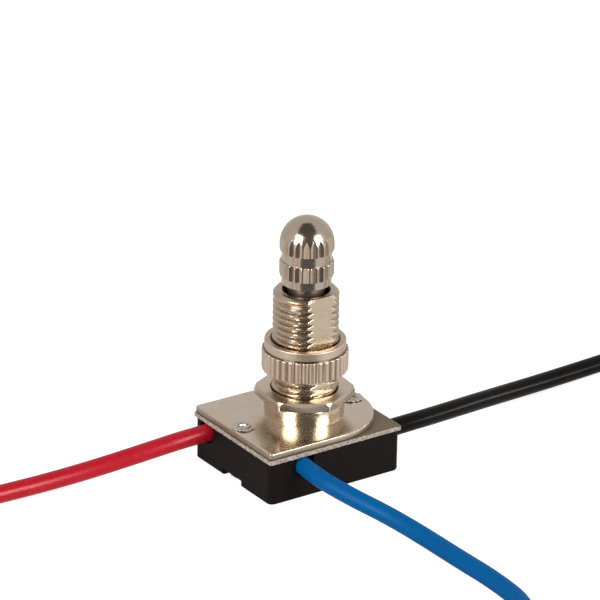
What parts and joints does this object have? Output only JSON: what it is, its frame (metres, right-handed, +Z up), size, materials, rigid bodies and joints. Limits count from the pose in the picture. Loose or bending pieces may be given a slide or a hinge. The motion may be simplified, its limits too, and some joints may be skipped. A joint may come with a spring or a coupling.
{
  "type": "rotary switch",
  "caption": "Small rotary lamp switch: fluted knob on a threaded bushing with a hex lock nut and a knurled nut, riveted box body and loose lead wires.",
  "frame": {"origin": "middle of the housing's flat underside, on the surface that it stands on", "axes": "+X along the housing's long side, +Y along its short side away from the bushing's flat, +Z up along the bushing and the knob"},
  "size_m": [0.1801, 0.0807, 0.0382],
  "materials": {
    "phenolic": "moulded brown-black phenolic, satin",
    "fibre": "dark fibre sheet with a chipped pale cut edge",
    "plate_nickel": "satin nickel plate on stamped steel",
    "turned_nickel": "bright nickel plate on turned metal",
    "knob_nickel": "polished nickel plate",
    "spindle_steel": "dull plated steel",
    "spring_steel": "plain spring steel",
    "rotor_plastic": "moulded brown phenolic",
    "brass": "plain brass strip",
    "copper": "bare copper",
    "lead_red": "extruded plastic insulation, glossy",
    "lead_blue": "extruded plastic insulation, satin",
    "lead_black": "extruded plastic insulation, glossy"
  },
  "bodies": {
    "switch_body": {"housing": "phenolic", "insulator_sheet": "fibre", "cover_plate": "plate_nickel", "rivets": "plate_nickel", "bushing": "turned_nickel", "hex_nut": "turned_nickel", "detent_spring": "spring_steel", "contact_red": "brass", "inner_end_red": "copper", "lead_red": "lead_red", "bare_end_red": "copper", "contact_blue": "brass", "inner_end_blue": "copper", "lead_blue": "lead_blue", "bare_end_blue": "copper", "contact_black": "brass", "inner_end_black": "copper", "lead_black": "lead_black", "bare_end_black": "copper"},
    "knob_assembly": {"knob": "knob_nickel", "spindle": "spindle_steel", "rotor": "rotor_plastic", "rotor_contact": "brass", "retaining_ring": "spring_steel"},
    "knurled_nut": {"knurled_nut": "turned_nickel"}
  },
  "joints": [
    {"name": "knob_turn", "type": "hinge", "parent": "switch_body", "child": "knob_assembly", "pos_m": [0.00113, 0, 0.0282], "axis": [0, 0, 1], "continuous": true},
    {"name": "knurled_nut_turn", "type": "hinge", "parent": "switch_body", "child": "knurled_nut", "pos_m": [0.00113, 0, 0.0165], "axis": [0, 0, 1], "continuous": true}
  ]
}
